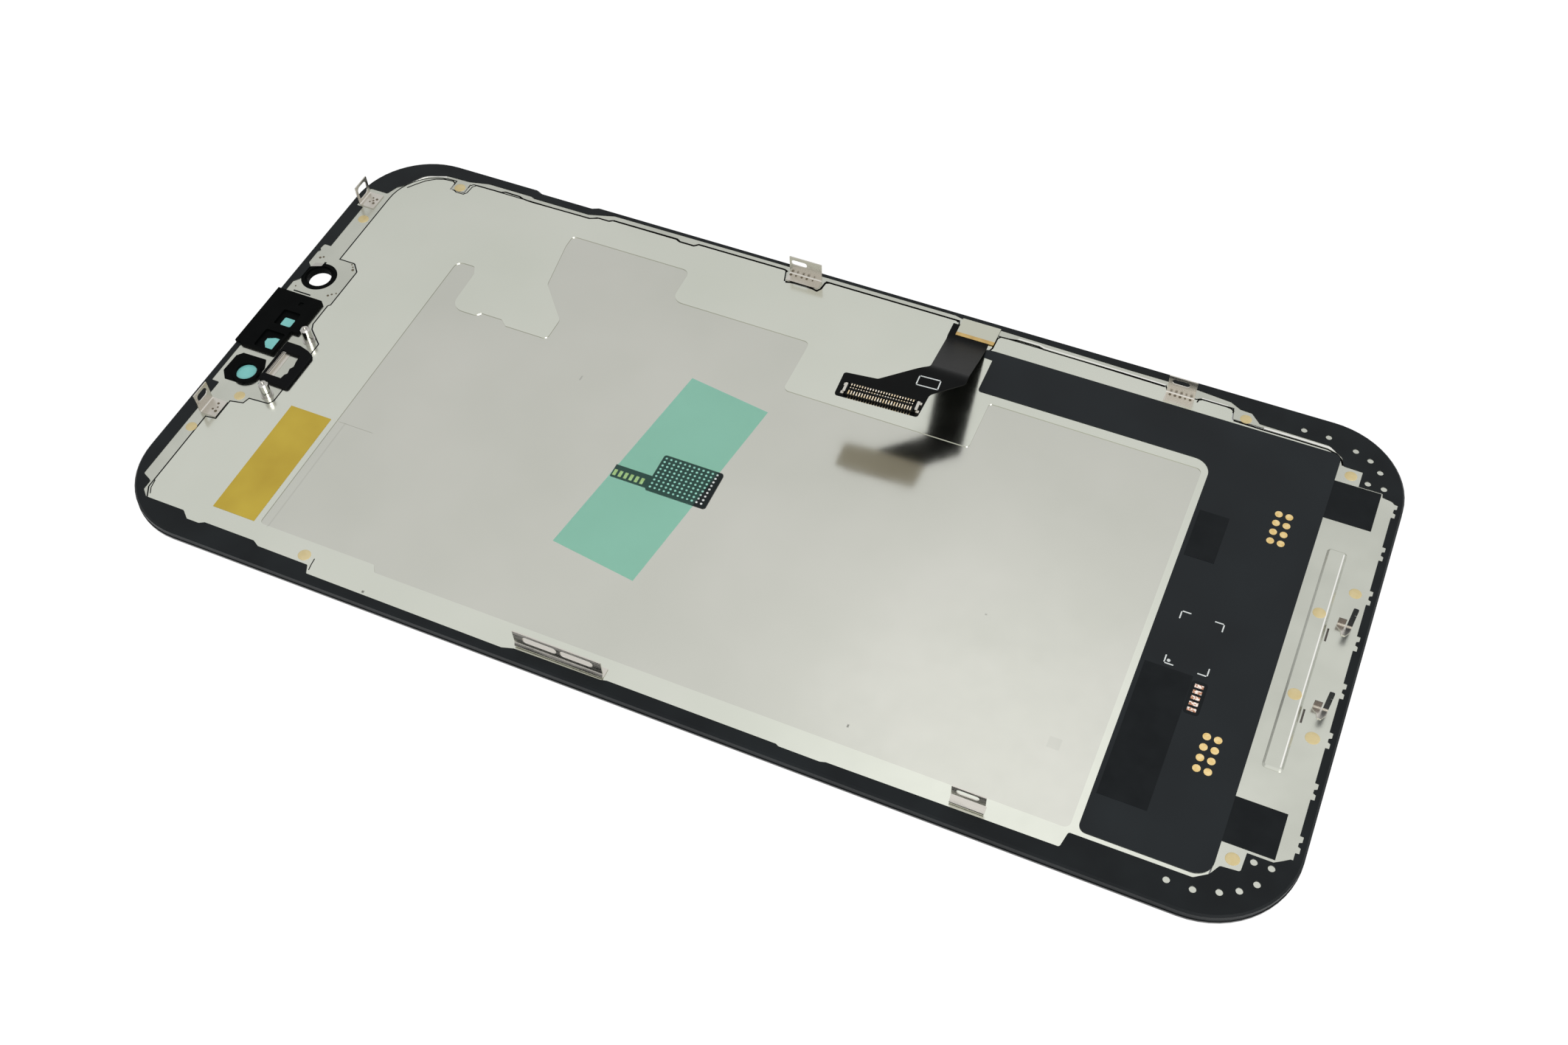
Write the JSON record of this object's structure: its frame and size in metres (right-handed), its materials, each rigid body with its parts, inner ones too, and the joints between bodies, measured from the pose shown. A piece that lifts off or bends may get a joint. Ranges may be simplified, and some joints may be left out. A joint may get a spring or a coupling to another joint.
{
  "type": "phone lcd screen assembly",
  "caption": "Phone LCD screen assembly lying glass down, with its metal back shield, moulded frame, notch sensors, driver film and display connector.",
  "frame": {"origin": "middle of the cover glass's outer face, which is the face it lies on", "axes": "+X along the screen from the notch end to the driver end, +Y across it, +Z out of the metal back"},
  "size_m": [0.1582, 0.0754, 0.0098],
  "materials": {
    "cover_glass": "polished",
    "frame_black": "moulded satin",
    "surround_steel": "satin",
    "shield_steel": "satin",
    "clip_steel": "bright",
    "post_steel": "polished",
    "sensor_black": "moulded matt",
    "teal_filter": "coated",
    "gasket_foam": "closed foam",
    "film_black": "printed film",
    "label_black": "matt",
    "pad_gold": "plated",
    "flex_black": "covered film",
    "connector_black": "moulded",
    "polyimide_gold": "gloss tape",
    "tape_yellow": "gloss tape",
    "tape_green": "satin tape",
    "board_black": "solder mask",
    "print_white": "matt print",
    "glue_amber": "cured glue",
    "clear_adhesive": "clear",
    "panel_glass": "polished",
    "optical_film": "film",
    "silicon": "polished",
    "led_white": "matt"
  },
  "bodies": {
    "root": {"cover_glass": "cover_glass", "bezel_frame": "frame_black", "frame_insert": "surround_steel", "backplate": "shield_steel", "camera_ring": "sensor_black", "sensor_bracket": "sensor_black", "sensor_windows": "teal_filter", "infrared_ring": "sensor_black", "infrared_window": "teal_filter", "receiver_gasket": "gasket_foam", "receiver_strip": "clip_steel", "locating_posts": "post_steel", "corner_loops": "clip_steel", "edge_clips_far": "clip_steel", "edge_clips_near": "clip_steel", "hook_clips": "clip_steel", "driver_film": "film_black", "film_labels": "label_black", "corner_tapes": "label_black", "test_pads": "pad_gold", "solder_pads": "pad_gold", "display_flex": "flex_black", "connector_housing": "connector_black", "connector_contacts": "pad_gold", "flex_root_tape": "polyimide_gold", "yellow_tape": "tape_yellow", "green_tape": "tape_green", "touch_board": "board_black", "touch_board_dots": "print_white", "touch_board_fingers": "pad_gold", "glue_dots": "glue_amber", "optical_adhesive": "clear_adhesive", "front_polariser": "optical_film", "colour_filter_glass": "panel_glass", "panel_glass": "panel_glass", "rear_polariser": "optical_film", "brightness_film": "optical_film", "diffuser_film": "optical_film", "light_guide": "optical_film", "reflector_film": "optical_film", "led_bar": "led_white", "driver_chip": "silicon", "panel_flex": "polyimide_gold"}
  },
  "joints": []
}
